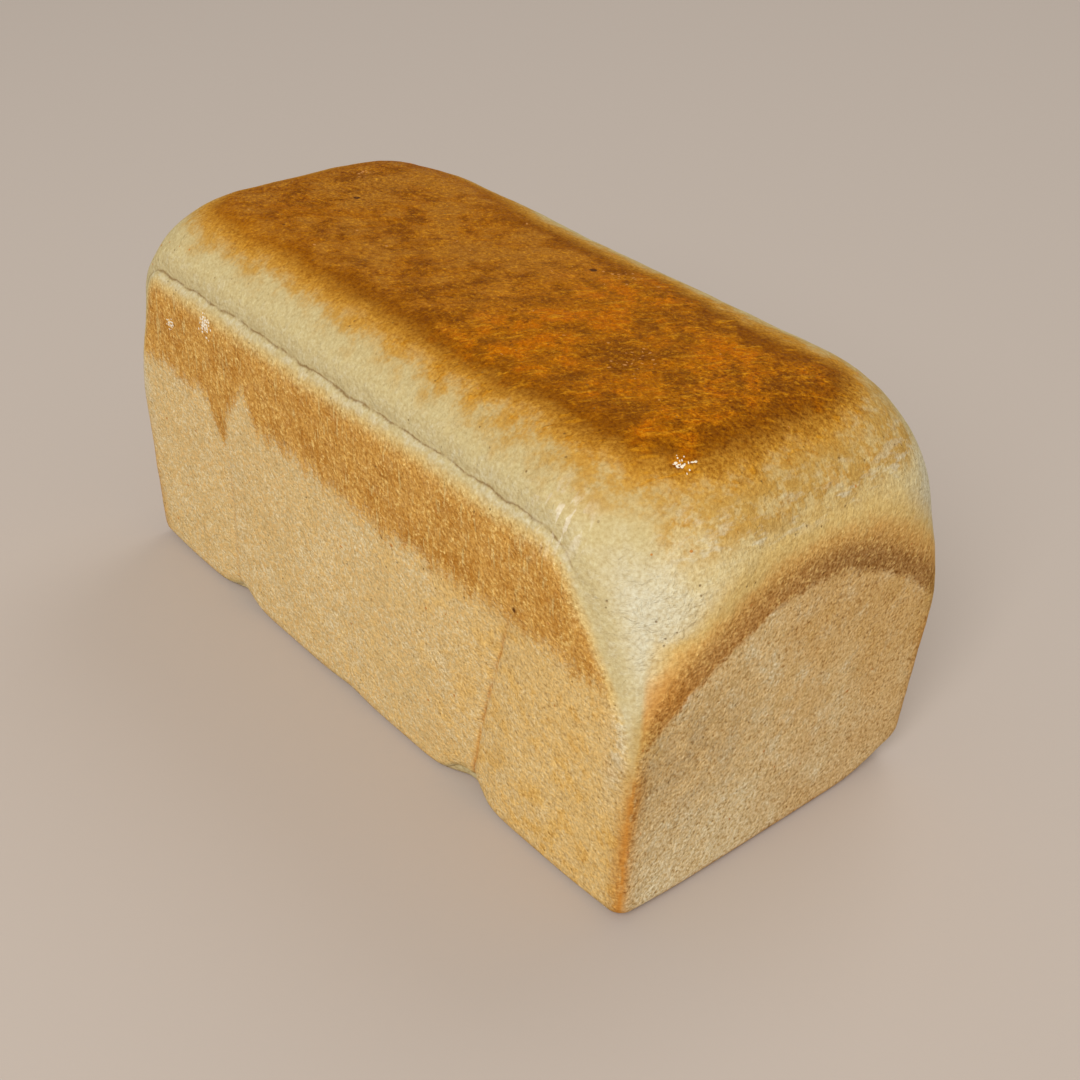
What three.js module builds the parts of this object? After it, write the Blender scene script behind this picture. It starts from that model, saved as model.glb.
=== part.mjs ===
// An uncut tin loaf: one closed body of bread.
// Millimetres, +Z up. The loaf stands on its flat base, centred over the origin, with its length along X.
// Every point starts on a plain box and is moved by the same few rules: rounded shoulders, lobed bottom
// edge, tapered walls, rounded corners, and the creases and the shred line that the dough leaves.

import * as THREE from 'three';
import { mergeVertices } from 'three/addons/utils/BufferGeometryUtils.js';

// Overall size at the top of the walls.
const LENGTH = 240;
const WIDTH = 122;
const HEIGHT = 124;

// How far each wall leans in at the base, as the tin's walls do.
const END_LEAN = 3.2;
const SIDE_LEAN = 5;
const LEAN_HEIGHT = 100;

// Shoulders between the walls and the flat top: how far they reach in, and how far down.
const SHOULDER_FRONT = { reach: 29, drop: 30 };
const SHOULDER_BACK = { reach: 36, drop: 34.5 };
const SHOULDER_LEFT_END = { reach: 27, drop: 34 };
const SHOULDER_RIGHT_END = { reach: 32, drop: 34 };
const SHOULDER_POWER = 2.1;

// Half the distance over which one side's rules give way to the next side's.
const BLEND_TO_END = 18;
const BLEND_FRONT_BACK = 20;
const BLEND_LEFT_RIGHT = 30;

// Upright corners: nearly sharp below, widening to the radius of each corner above.
const CORNER_LOW = 4;
const CORNER_FRONT_RIGHT = 42;
const CORNER_FRONT_LEFT = 26;
const CORNER_BACK = 39;
const CORNER_FROM = 50;
const CORNER_TO = 117;

// Bottom edge, which lifts into a notch where two pieces of dough meet, and at the corners.
const BOTTOM_ROUND = 3;
const CORNER_LIFT = 2;
const CORNER_LIFT_BACK_RIGHT = 9;
const CORNER_LIFT_WIDTH = 15;
const CREASE_WIDTH = 9;
const CREASE_CURVE = 1.3;
const CREASE_FADE_BELOW = 30;
const CREASE_FADE_ABOVE = 6;
const CREASES = [
  { x: -67, drift: 4, lift: 6, top: 66, depth: 0.6, side: -1 },
  { x: -4, drift: 3, lift: 1.5, top: 40, depth: 0.3, side: -1 },
  { x: 54, drift: 20, lift: 8.5, top: 78, depth: 1, side: -1 },
  { x: -48, drift: -6, lift: 7, top: 70, depth: 0.9, side: 1 },
  { x: 8, drift: 4, lift: 3, top: 46, depth: 0.5, side: 1 },
  { x: 66, drift: 8, lift: 6, top: 66, depth: 0.8, side: 1 },
];

// The shred line, a shallow groove with a soft roll over it, where the crust of a long side has drawn
// this far back from the tin's wall. It fades towards the right end.
const SHRED_GAP = 1.8;
const SHRED_DEPTH = 1.2;
const SHRED_HALF_WIDTH = 0.5;
const SHRED_ROLL = 0.5;
const SHRED_ROLL_OFFSET = 2.4;
const SHRED_ROLL_HALF_WIDTH = 1.6;
const SHRED_FADE = { from: 86, to: 100, most: 0.85 };

// Walls end, and the top begins, this far in from the sides; the top's hollows fade out over its skin.
const WALL_INSET = { from: 10, to: 26 };
const TOP_INSET = { from: 14, to: 34 };
const TOP_SKIN = 3;
const FOOT_HEIGHT = 5;

// The lid leaves the top a little uneven: depth and wave lengths of its hollows.
const TOP_UNEVEN = { depth: 0.4, along: 80, across: 105, shift: 0.6 };

// Grid of the box that the rules are applied to.
const STEPS_LENGTH = 38;
const STEPS_WIDTH = 20;
const CROWDING = 0.55;
const WALL_ROWS = [
  0, 1.5, 3.5, 8, 15, 25, 36, 47, 57, 66, 75, 83, 90, 96, 100, 102.8, 104.5, 105.8, 107.1, 108.8, 111, 113.8,
  117.2, 120.6, 124,
];

const CRUST = new THREE.MeshStandardMaterial({ color: 0xc9a063, roughness: 0.82, metalness: 0 });

const TAU = 2 * Math.PI;
const TINY = 1e-3;

const mix = (a, b, t) => a + (b - a) * t;
const rise = (from, to, value) => THREE.MathUtils.smoothstep(value, from, to);
const bell = (distance, width) => Math.exp(-((distance / width) ** 2));

// Rounds the square edge where two faces meet: u and v are a point's distances from the two faces.
function roundEdge(u, v, reachU, reachV, power) {
  const a = Math.max(0, 1 - u / reachU);
  const b = Math.max(0, 1 - v / reachV);
  const keep = Math.max(a, b) / Math.max((a ** power + b ** power) ** (1 / power), 1e-6);
  return [u + reachU * a * (1 - keep), v + reachV * b * (1 - keep)];
}

// How far the wall is pressed in, where the crust has drawn back by the gap from the tin's wall.
function wallRelief(point, inset, endShare, sideSign) {
  const beyond = point.gap - SHRED_GAP;
  const groove = SHRED_DEPTH * bell(beyond, SHRED_HALF_WIDTH);
  const roll = SHRED_ROLL * bell(beyond - SHRED_ROLL_OFFSET, SHRED_ROLL_HALF_WIDTH);
  let depth = (groove - roll) * (1 - SHRED_FADE.most * rise(SHRED_FADE.from, SHRED_FADE.to, point.x));
  for (const crease of CREASES) {
    if (crease.side !== sideSign) continue;
    const line = point.x - crease.x - crease.drift * (point.z / crease.top) ** CREASE_CURVE;
    const fade = 1 - rise(crease.top - CREASE_FADE_BELOW, crease.top + CREASE_FADE_ABOVE, point.z);
    depth += crease.depth * bell(line, CREASE_WIDTH) * fade;
  }
  const onWall = (1 - endShare) * (1 - rise(WALL_INSET.from, WALL_INSET.to, inset));
  return depth * onWall * rise(0, FOOT_HEIGHT, point.z);
}

// Moves a point of the box onto the loaf.
function place(boxX, boxY, boxZ) {
  const halfLength = LENGTH / 2;
  const halfWidth = WIDTH / 2;
  const fromEnd = halfLength - Math.abs(boxX);
  const fromSide = halfWidth - Math.abs(boxY);
  const inset = Math.min(fromEnd, fromSide);
  const endShare = rise(-BLEND_TO_END, BLEND_TO_END, fromSide - fromEnd);
  const backShare = rise(-BLEND_FRONT_BACK, BLEND_FRONT_BACK, boxY);
  const rightShare = rise(-BLEND_LEFT_RIGHT, BLEND_LEFT_RIGHT, boxX);
  const sideSign = boxY < 0 ? -1 : 1;

  const blend = (key) => {
    const side = mix(SHOULDER_FRONT[key], SHOULDER_BACK[key], backShare);
    return mix(side, mix(SHOULDER_LEFT_END[key], SHOULDER_RIGHT_END[key], rightShare), endShare);
  };
  const [shoulderInset, below] = roundEdge(inset, HEIGHT - boxZ, blend('reach'), blend('drop'), SHOULDER_POWER);

  const cornerLift = mix(CORNER_LIFT, CORNER_LIFT_BACK_RIGHT, rightShare * backShare);
  let bottomRound = BOTTOM_ROUND + cornerLift * bell(Math.hypot(fromEnd, fromSide), CORNER_LIFT_WIDTH);
  for (const crease of CREASES) {
    if (crease.side !== sideSign) continue;
    bottomRound += crease.lift * bell(boxX - crease.x, CREASE_WIDTH) * (1 - endShare);
  }
  const [edgeInset, z] = roundEdge(shoulderInset, HEIGHT - below, bottomRound, bottomRound, 2);

  const low = 1 - Math.min(z / LEAN_HEIGHT, 1);
  const leanX = 1 - (END_LEAN / halfLength) * low;
  const leanY = 1 - (SIDE_LEAN / halfWidth) * low;
  const cornerFront = mix(CORNER_FRONT_LEFT, CORNER_FRONT_RIGHT, rightShare);
  const cornerTop = mix(cornerFront, CORNER_BACK, backShare);
  const corner = mix(CORNER_LOW, cornerTop, rise(CORNER_FROM, CORNER_TO, z));

  // The point in plan, with its wall pressed in by the given depth.
  const inPlan = (pressed) => {
    const reachX = (halfLength - edgeInset - pressed) * leanX;
    const reachY = (halfWidth - edgeInset - pressed) * leanY;
    const x = (boxX / Math.max(halfLength - inset, TINY)) * reachX;
    const y = (boxY / Math.max(halfWidth - inset, TINY)) * reachY;
    const radius = Math.max((corner * reachY) / (halfWidth * leanY), TINY);
    const [gapX, gapY] = roundEdge(reachX - Math.abs(x), reachY - Math.abs(y), radius, radius, 2);
    const gap = Math.min(halfLength * leanX - reachX + gapX, halfWidth * leanY - reachY + gapY);
    return { x: Math.sign(x) * (reachX - gapX), y: Math.sign(y) * (reachY - gapY), z, gap };
  };
  const plain = inPlan(0);
  const { x, y } = inPlan(wallRelief(plain, inset, endShare, sideSign));

  const flatTop = rise(TOP_INSET.from, TOP_INSET.to, inset) * rise(HEIGHT - TOP_SKIN, HEIGHT, z);
  const waveAlong = Math.cos((TAU * boxX) / TOP_UNEVEN.along);
  const wave = waveAlong * Math.cos((TAU * boxY) / TOP_UNEVEN.across + TOP_UNEVEN.shift);
  return [x, y, z + TOP_UNEVEN.depth * flatTop * (wave - 1)];
}

// Stops along one direction, closer together near the ends.
function stops(half, count) {
  return Array.from({ length: count + 1 }, (_, i) => {
    const t = (2 * i) / count - 1;
    return half * mix(t, Math.sin((t * Math.PI) / 2), CROWDING);
  });
}

// A closed box of quads, each split in two, with its faces turned outwards.
function boxFaces(xs, ys, zs) {
  const triangles = [];
  const quad = (a, b, c, d) => triangles.push(a, b, c, a, c, d);
  const last = { x: xs.length - 1, y: ys.length - 1, z: zs.length - 1 };
  for (let i = 0; i < last.x; i++) {
    for (let j = 0; j < last.y; j++) {
      const corner = (k) => [[i, j, k], [i + 1, j, k], [i + 1, j + 1, k], [i, j + 1, k]];
      quad(...corner(last.z));
      quad(...corner(0).reverse());
    }
    for (let k = 0; k < last.z; k++) {
      const corner = (j) => [[i, j, k], [i + 1, j, k], [i + 1, j, k + 1], [i, j, k + 1]];
      quad(...corner(0));
      quad(...corner(last.y).reverse());
    }
  }
  for (let j = 0; j < last.y; j++) {
    for (let k = 0; k < last.z; k++) {
      const corner = (i) => [[i, j, k], [i, j + 1, k], [i, j + 1, k + 1], [i, j, k + 1]];
      quad(...corner(last.x));
      quad(...corner(0).reverse());
    }
  }
  return triangles.map(([i, j, k]) => place(xs[i], ys[j], zs[k]));
}

function makeLoaf() {
  const xs = stops(LENGTH / 2, STEPS_LENGTH);
  const ys = stops(WIDTH / 2, STEPS_WIDTH);
  const points = boxFaces(xs, ys, WALL_ROWS).flat();
  let geometry = new THREE.BufferGeometry();
  geometry.setAttribute('position', new THREE.Float32BufferAttribute(points, 3));
  geometry = mergeVertices(geometry, 1e-4);
  geometry.computeBoundingBox();
  const centre = geometry.boundingBox.getCenter(new THREE.Vector3());
  geometry.translate(-centre.x, -centre.y, -geometry.boundingBox.min.z);
  geometry.computeVertexNormals();
  const loaf = new THREE.Mesh(geometry, CRUST);
  loaf.name = 'loaf';
  return loaf;
}

const model = new THREE.Group();
model.add(makeLoaf());

export default model;
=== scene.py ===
"""Tin loaf: the crust, its flour and crumbs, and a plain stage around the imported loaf."""

import math

import bpy
from mathutils import Matrix, Vector


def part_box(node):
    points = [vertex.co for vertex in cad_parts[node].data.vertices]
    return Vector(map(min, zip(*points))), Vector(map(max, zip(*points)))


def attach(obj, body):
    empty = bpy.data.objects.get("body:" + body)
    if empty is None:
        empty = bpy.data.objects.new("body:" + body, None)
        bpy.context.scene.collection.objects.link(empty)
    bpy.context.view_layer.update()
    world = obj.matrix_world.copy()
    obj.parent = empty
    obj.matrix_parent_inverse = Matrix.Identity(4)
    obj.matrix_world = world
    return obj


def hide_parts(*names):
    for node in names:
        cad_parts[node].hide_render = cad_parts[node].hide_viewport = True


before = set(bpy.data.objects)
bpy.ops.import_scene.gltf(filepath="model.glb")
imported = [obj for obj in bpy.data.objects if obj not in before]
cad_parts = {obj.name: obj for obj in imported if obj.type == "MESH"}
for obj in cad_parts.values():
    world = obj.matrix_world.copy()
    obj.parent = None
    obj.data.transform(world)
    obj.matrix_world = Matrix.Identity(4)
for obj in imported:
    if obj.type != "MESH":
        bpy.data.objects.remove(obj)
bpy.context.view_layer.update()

bl_info = {
    "name": "Tin Loaf",
    "version": (1, 0, 0),
    "blender": (4, 5, 0),
    "location": "3D View > Sidebar > Tin Loaf",
    "description": "Makes an uncut tin loaf with its baked crust, and a stage to show it on",
    "category": "Add Mesh",
}

MM = 0.001
SEED = 7.0
NOISE_MIDDLE = 0.5
NOISE_STRETCH = 4.5
LOW, HIGH = (Vector(corner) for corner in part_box("loaf"))
SIZE = HIGH - LOW

# The form has these fixed numbers beside the sizes of the panel. Lengths are in millimetres, and a pair
# of numbers says where something sets in and where it is complete.
BLEND_TO_END = (-18.0, 18.0)
BLEND_TO_BACK = (-20.0, 20.0)
BLEND_TO_RIGHT = (-30.0, 30.0)
SHOULDER_BACK = {"reach": 36.0, "drop": 34.5}
SHOULDER_END_REACH = {"left": 27.0, "right": 32.0}
SHOULDER_POWER = 2.1
LEAN_HEIGHT = 100.0
CORNER_BACK = 39.0
CORNER_WIDENS = (50.0, 117.0)
CORNER_LIFT = {"back_right": 9.0, "others": 2.0, "width": 15.0}
WALL_INSET = (10.0, 26.0)
TOP_INSET = (14.0, 30.0)
TOP_HEIGHT = (100.0, 110.0)
FOOT = (0.3, 5.0)
TINY = 1e-3
TINY_SHARE = 1e-6

# The shred line runs where the crust has drawn back this far from the tin's wall. It is a fine groove
# in a shallow valley, with a soft roll above it, and fades towards both ends.
SHRED_GAP = 1.8
SHRED_WANDER = 0.3
SHRED_GROOVE = {"depth": 1.0, "width": 0.36}
SHRED_VALLEY = {"depth": 0.35, "beyond": 0.5, "width": 1.3}
SHRED_ROLL = {"height": 0.5, "beyond": 2.4, "width": 1.6}
SHRED_FADE_RIGHT = {"span": (86.0, 100.0), "share": 0.85}
SHRED_FADE_LEFT = {"span": (92.0, 108.0), "share": 0.5}

# Where two pieces of dough meet on a long side: place along the loaf, how far the crease wanders on its
# way up, how much rounder the bottom edge is there, the height it reaches, its depth, and the side it
# is on (-1 front, 1 back).
CREASE_WIDTH = 9.0
CREASE_CORE_WIDTH = 1.1
CREASE_CURVE = 1.3
CREASE_FADE = {"below": 30.0, "above": 6.0}
CREASES = (
    {"x": -67, "drift": 4, "lift": 6, "top": 66, "depth": 0.6, "side": -1},
    {"x": -4, "drift": 3, "lift": 1.5, "top": 40, "depth": 0.3, "side": -1},
    {"x": 54, "drift": 20, "lift": 8.5, "top": 78, "depth": 1.0, "side": -1},
    {"x": -48, "drift": -6, "lift": 7, "top": 70, "depth": 0.9, "side": 1},
    {"x": 8, "drift": 4, "lift": 3, "top": 46, "depth": 0.5, "side": 1},
    {"x": 66, "drift": 8, "lift": 6, "top": 66, "depth": 0.8, "side": 1},
)

# Where the colours of the crust change. The arch is the upper edge of an end wall's sandy part, and the
# band's line is the lower edge of the brown band on the front, with its tongue and the bay beside it.
TOP_SETS_IN = (108.0, 114.0)
RIGHT_SETS_IN = (-20.0, 70.0)
UNDER_INSET = (2.0, 7.0)
UNDER_HEIGHT = (0.5, 3.0)
ARCH = {"height": 85.5, "fall": 22.0, "half_width": 49.0, "power": 1.8}
BAND_LINE = 72.0
BAND_TONGUE = {"x": -65.0, "width": 4.0, "fall": 13.0}
BAND_BAY = {"x": -50.0, "width": 6.5, "rise": 9.0}

# The browned top: its front edge, its back edge with how far that bulges near either end, the middle
# and half of its length, and the radius of its corners.
LID_FRONT = -46.8
LID_BACK = 35.5
LID_BULGE_RIGHT = {"span": (76.0, 92.0), "depth": 7.0}
LID_BULGE_LEFT = {"span": (30.0, 60.0), "depth": 5.0}
LID_MIDDLE = 2.0
LID_HALF_LENGTH = 104.5
LID_CORNER = {"left": 18.0, "right": 30.0}

# Single marks in the crust's colour: a dull patch and a brown blotch on the right end, white strokes on
# the front shoulder, and a dusted patch on the right one.
DULL_PATCH = {"place": (118.0, -36.0, 48.0), "reach": 20.0}
BROWN_BLOTCH = {"place": (118.0, -46.0, 71.0), "reach": 6.5}
WHITE_STROKES = {"place": (86.0, -54.0, 107.0), "reach": 7.0}
DUSTED_PATCH = {"place": (99.0, -32.0, 121.0), "reach": 3.2}

# Finish of the crust, apart from the shine of its top and corners.
ROUGHNESS = 0.7
SPECULAR = 0.02
BUMP_DISTANCE = 0.5 * MM
BUMP_STRENGTH = 0.75

# Cosine and sine of the 25 degrees by which the grain of the top is turned.
SLANT = (0.91, 0.42)

# Small dark holes in the crust and pin pricks, darkened with painted shade: the pricks' spacing, and their
# radius as shares of it.
PRICK_SPACING = 3.6
PRICK_RADIUS = (0.05, 0.11)
PITS = (
    {"place": (-72.0, -3.0, 124.0), "reach": 0.9},
    {"place": (-66.0, -33.0, 123.5), "reach": 0.6},
    {"place": (10.5, 20.5, 124.0), "reach": 1.0},
    {"place": (74.5, -60.0, 76.5), "reach": 0.9},
    {"place": (-30.0, 60.0, 58.0), "reach": 0.8},
)

# Floury spots on the crust, and spots with crumbs and torn flakes. Specks keep off the foot of the
# walls, and their sizes vary between these shares of the middling radius.
FLOUR_SPOTS = (
    {"place": (-68.5, -60.5, 98.0), "reach": 1.8},
    {"place": (-90.0, -60.0, 90.0), "reach": 1.3},
    {"place": (99.0, -32.0, 121.0), "reach": 1.4},
    {"place": (104.0, -40.0, 120.0), "reach": 1.4},
    {"place": (40.0, 55.0, 113.0), "reach": 3.0},
    {"place": (-108.0, 20.0, 113.0), "reach": 2.6},
)
CRUMB_SPOTS = (
    {"place": (105.0, 0.0, 122.5), "reach": 2.0},
    {"place": (60.0, -10.0, 124.0), "reach": 6.0},
    {"place": (20.0, 25.0, 124.0), "reach": 5.0},
    {"place": (-88.0, 12.0, 124.0), "reach": 3.0},
)
SPECK_HEIGHT = (6.0, 20.0)
SPECK_SMALLEST = (0.3, 0.3, 0.1)
SPECK_LARGEST = (1.7, 1.4, 0.4)

# Specks for each square metre: everywhere, and at the middle of a spot.
SPECK_DENSITY = 1200.0
FLOUR_SPOT_DENSITY = 6.0e6
CRUMB_SPOT_DENSITY = 2.5e5

# The stage, in metres, watts and degrees, with the lens and its sensor in millimetres.
FLOOR_REACH = 3.0
FLOOR_DROP = 0.0002
SKY = {"colour": (1.0, 0.985, 0.97, 1.0), "strength": 0.5}
LIGHTS = (
    {"name": "key_light", "place": (1.22, -1.86, 1.85), "side": 1.5, "power": 74.0},
    {"name": "back_light", "place": (-0.5, 1.6, 2.3), "side": 1.5, "power": 18.0},
)
CAMERA = {"azimuth": 47.8, "elevation": 32.71, "roll": 3.26, "lens": 51.3, "sensor": 36.0}
CAMERA_AIM = Vector((0.0, 0.0, 50 * MM))
CAMERA_SHIFT = {"across": 10.86 * MM, "above": -12.17 * MM, "back": 469.23 * MM}


# ---- Plain arithmetic in node trees. The same helpers serve geometry trees and materials.

class Field:
    """A value that flows through a node tree and can be used in ordinary sums."""

    def __init__(self, tree, socket):
        self.tree = tree
        self.socket = socket

    def __add__(self, other):
        return maths("ADD", self, other)

    def __radd__(self, other):
        return maths("ADD", other, self)

    def __sub__(self, other):
        return maths("SUBTRACT", self, other)

    def __rsub__(self, other):
        return maths("SUBTRACT", other, self)

    def __mul__(self, other):
        return maths("MULTIPLY", self, other)

    def __rmul__(self, other):
        return maths("MULTIPLY", other, self)

    def __truediv__(self, other):
        return maths("DIVIDE", self, other)

    def __neg__(self):
        return maths("MULTIPLY", self, -1.0)

    def __abs__(self):
        return maths("ABSOLUTE", self)


def connect(tree, socket, value):
    """Feeds a socket with a field, or with a plain value."""
    if isinstance(value, Field):
        tree.links.new(value.socket, socket)
    else:
        socket.default_value = value


def tree_of(values):
    """The tree that the fields among some values belong to."""
    return next(value.tree for value in values if isinstance(value, Field))


def maths(operation, *values):
    """One sum, done by a Math node."""
    tree = tree_of(values)
    node = tree.nodes.new("ShaderNodeMath")
    node.operation = operation
    for socket, value in zip(node.inputs, values):
        connect(tree, socket, value)
    return Field(tree, node.outputs[0])


def larger(a, b):
    return maths("MAXIMUM", a, b)


def smaller(a, b):
    return maths("MINIMUM", a, b)


def vector_maths(operation, *vectors):
    """A Vector Math node at work on these vectors."""
    tree = tree_of(vectors)
    node = tree.nodes.new("ShaderNodeVectorMath")
    node.operation = operation
    for socket, vector in zip(node.inputs, vectors):
        connect(tree, socket, vector)
    return node


def scaled(vector, factor):
    node = vector_maths("SCALE", vector)
    connect(vector.tree, node.inputs["Scale"], factor)
    return Field(vector.tree, node.outputs["Vector"])


def power(value, exponent):
    return maths("POWER", value, exponent)


def diagonal(a, b, exponent=2.0):
    """Length of the diagonal of a and b; a higher exponent makes its circle squarer."""
    return power(power(a, exponent) + power(b, exponent), 1.0 / exponent)


def sign(value):
    """-1 below zero and 1 from zero up."""
    return 1.0 - 2.0 * maths("LESS_THAN", value, 0.0)


def rise(start, end, value):
    """0 below start, 1 above end, and smooth between."""
    tree = tree_of((start, end, value))
    node = tree.nodes.new("ShaderNodeMapRange")
    node.interpolation_type = "SMOOTHSTEP"
    connect(tree, node.inputs["Value"], value)
    connect(tree, node.inputs["From Min"], start)
    connect(tree, node.inputs["From Max"], end)
    return Field(tree, node.outputs["Result"])


def bell(distance, width):
    """1 at no distance, falling off smoothly over the width."""
    return maths("EXPONENT", -power(abs(distance) / width, 2.0))


def near(place, mark):
    """1 at the middle of a mark, falling off smoothly over its reach."""
    distance = vector_maths("DISTANCE", place, mark["place"]).outputs["Value"]
    return bell(Field(place.tree, distance), mark["reach"])


def mix(a, b, share):
    """a where the share is 0, b where it is 1, and between them otherwise."""
    return a + (b - a) * share


def split(vector):
    """The three parts of a vector."""
    node = vector.tree.nodes.new("ShaderNodeSeparateXYZ")
    vector.tree.links.new(vector.socket, node.inputs[0])
    return [Field(vector.tree, output) for output in node.outputs]


def join(x, y, z):
    """The vector with these three parts."""
    tree = tree_of((x, y, z))
    node = tree.nodes.new("ShaderNodeCombineXYZ")
    for socket, value in zip(node.inputs, (x, y, z)):
        connect(tree, socket, value)
    return Field(tree, node.outputs[0])


def noise(place, size, seed, detail=2.0, roughness=0.5, warp=0.0):
    """Smooth random values, about -1 to 1, with features of the given size."""
    tree = place.tree
    node = tree.nodes.new("ShaderNodeTexNoise")
    node.noise_dimensions = "4D"
    tree.links.new(place.socket, node.inputs["Vector"])
    connect(tree, node.inputs["W"], float(seed))
    connect(tree, node.inputs["Scale"], 1.0 / size)
    connect(tree, node.inputs["Detail"], detail)
    connect(tree, node.inputs["Roughness"], roughness)
    connect(tree, node.inputs["Distortion"], warp)
    return (Field(tree, node.outputs[0]) - NOISE_MIDDLE) * NOISE_STRETCH


def cells(place, size):
    """Distance from the nearest of many scattered points, in units of their spacing."""
    tree = place.tree
    node = tree.nodes.new("ShaderNodeTexVoronoi")
    tree.links.new(place.socket, node.inputs["Vector"])
    connect(tree, node.inputs["Scale"], 1.0 / size)
    return Field(tree, node.outputs["Distance"])


# ---- The form of the loaf, in millimetres.

def round_edge(u, v, reach_u, reach_v, exponent):
    """Rounds the square edge where two faces meet; u and v are the distances from the faces."""
    a = larger(1.0 - u / reach_u, 0.0)
    b = larger(1.0 - v / reach_v, 0.0)
    keep = larger(a, b) / larger(diagonal(a, b, exponent), TINY_SHARE)
    return u + reach_u * a * (1.0 - keep), v + reach_v * b * (1.0 - keep)


def on_crease_side(crease, y):
    """1 on the long side that a crease is on, and 0 on the other."""
    return 0.5 + 0.5 * crease["side"] * sign(y)


def loaf_form(box, size):
    """Moves the points of a plain box onto the loaf.

    It also gives their gap to the tin's walls, their share in an end wall and their inset from the walls.
    """
    box_x, box_y, box_z = split(box)
    half_length, half_width, height = size["length"] / 2, size["width"] / 2, size["height"]
    from_end = half_length - abs(box_x)
    from_side = half_width - abs(box_y)
    inset = smaller(from_end, from_side)
    end_share = rise(*BLEND_TO_END, from_side - from_end)
    back_share = rise(*BLEND_TO_BACK, box_y)
    right_share = rise(*BLEND_TO_RIGHT, box_x)

    end_reach = mix(SHOULDER_END_REACH["left"], SHOULDER_END_REACH["right"], right_share)
    side_reach = mix(size["shoulder_reach"], SHOULDER_BACK["reach"], back_share)
    reach = mix(side_reach, end_reach, end_share)
    side_drop = mix(size["shoulder_drop"], SHOULDER_BACK["drop"], back_share)
    drop = mix(side_drop, size["end_drop"], end_share)
    shoulder_inset, below = round_edge(inset, height - box_z, reach, drop, SHOULDER_POWER)

    crease_lift = 0.0
    for crease in CREASES:
        along = bell(box_x - crease["x"], CREASE_WIDTH)
        crease_lift = crease_lift + crease["lift"] * on_crease_side(crease, box_y) * along
    corner_lift = mix(CORNER_LIFT["others"], CORNER_LIFT["back_right"], right_share * back_share)
    corner_lift = corner_lift * bell(diagonal(from_end, from_side), CORNER_LIFT["width"])
    bottom = size["bottom_round"] + crease_lift * (1.0 - end_share) + corner_lift
    edge_inset, z = round_edge(shoulder_inset, height - below, bottom, bottom, 2.0)

    low = 1.0 - smaller(z / LEAN_HEIGHT, 1.0)
    lean_x = 1.0 - size["end_lean"] * low / half_length
    lean_y = 1.0 - size["side_lean"] * low / half_width
    reach_x = (half_length - edge_inset) * lean_x
    reach_y = (half_width - edge_inset) * lean_y
    x = box_x / larger(half_length - inset, TINY) * reach_x
    y = box_y / larger(half_width - inset, TINY) * reach_y

    corner_front = mix(size["corner_left"], size["corner_right"], right_share)
    corner_top = mix(corner_front, CORNER_BACK, back_share)
    corner = mix(size["corner_low"], corner_top, rise(*CORNER_WIDENS, z))
    radius = larger(corner * reach_y / (half_width * lean_y), TINY)
    gap_x, gap_y = round_edge(reach_x - abs(x), reach_y - abs(y), radius, radius, 2.0)
    x = sign(x) * (reach_x - gap_x)
    y = sign(y) * (reach_y - gap_y)
    gap = smaller(half_length * lean_x - abs(x), half_width * lean_y - abs(y))
    return x, y, z, gap, end_share, inset


def crease_line(crease, x, z):
    """Distance along the loaf from a crease, which leans as it climbs."""
    return x - crease["x"] - crease["drift"] * power(z / crease["top"], CREASE_CURVE)


def line_wander(place):
    """How the shred line and the creases wander along the loaf."""
    return noise(place, 8.0, seed=SEED, detail=4.0, roughness=0.6)


def shred_line(gap, wander):
    """How far beyond the shred line the crust is."""
    return gap - SHRED_GAP - SHRED_WANDER * wander


def faded(fade, distance):
    """What is left of the shred line at a distance towards an end."""
    return 1.0 - fade["share"] * rise(*fade["span"], distance)


def loaf_relief(place, gap, end_share, inset):
    """How far the crust stands proud of the plain form, in millimetres."""
    x, y, z = split(place)
    side = (1.0 - end_share) * (1.0 - rise(*WALL_INSET, inset))
    off_base = rise(*FOOT, z)
    top = rise(*TOP_INSET, inset) * rise(*TOP_HEIGHT, z)

    wander = line_wander(place)
    shred = shred_line(gap, wander)
    ragged = 0.7 + 0.4 * noise(place, 11.0, seed=SEED + 1, detail=3.0)
    groove = SHRED_GROOVE["depth"] * bell(shred, SHRED_GROOVE["width"]) * ragged
    valley = SHRED_VALLEY["depth"] * bell(shred - SHRED_VALLEY["beyond"], SHRED_VALLEY["width"])
    roll = SHRED_ROLL["height"] * bell(shred - SHRED_ROLL["beyond"], SHRED_ROLL["width"])
    remains = faded(SHRED_FADE_RIGHT, x) * faded(SHRED_FADE_LEFT, -x)
    relief = (roll - groove - valley) * side * remains

    for crease in CREASES:
        line = crease_line(crease, x, z) - 0.4 * wander
        fade = 1.0 - rise(crease["top"] - CREASE_FADE["below"], crease["top"] + CREASE_FADE["above"], z)
        pressed = crease["depth"] * (0.8 * bell(line, CREASE_CORE_WIDTH) + bell(line, CREASE_WIDTH))
        relief = relief - pressed * on_crease_side(crease, y) * side * fade

    swell = 0.45 * noise(place, 60.0, seed=SEED + 2, detail=1.0)
    lumps = 0.16 * noise(place, 11.0, seed=SEED + 3, detail=3.0, roughness=0.6)
    stretched = join(x * 1.6, y * 0.55, z)
    wrinkles = 0.2 * noise(stretched, 7.0, seed=SEED + 4, detail=4.0, roughness=0.65, warp=0.6)
    return (relief + swell + lumps + wrinkles * top) * off_base


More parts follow.
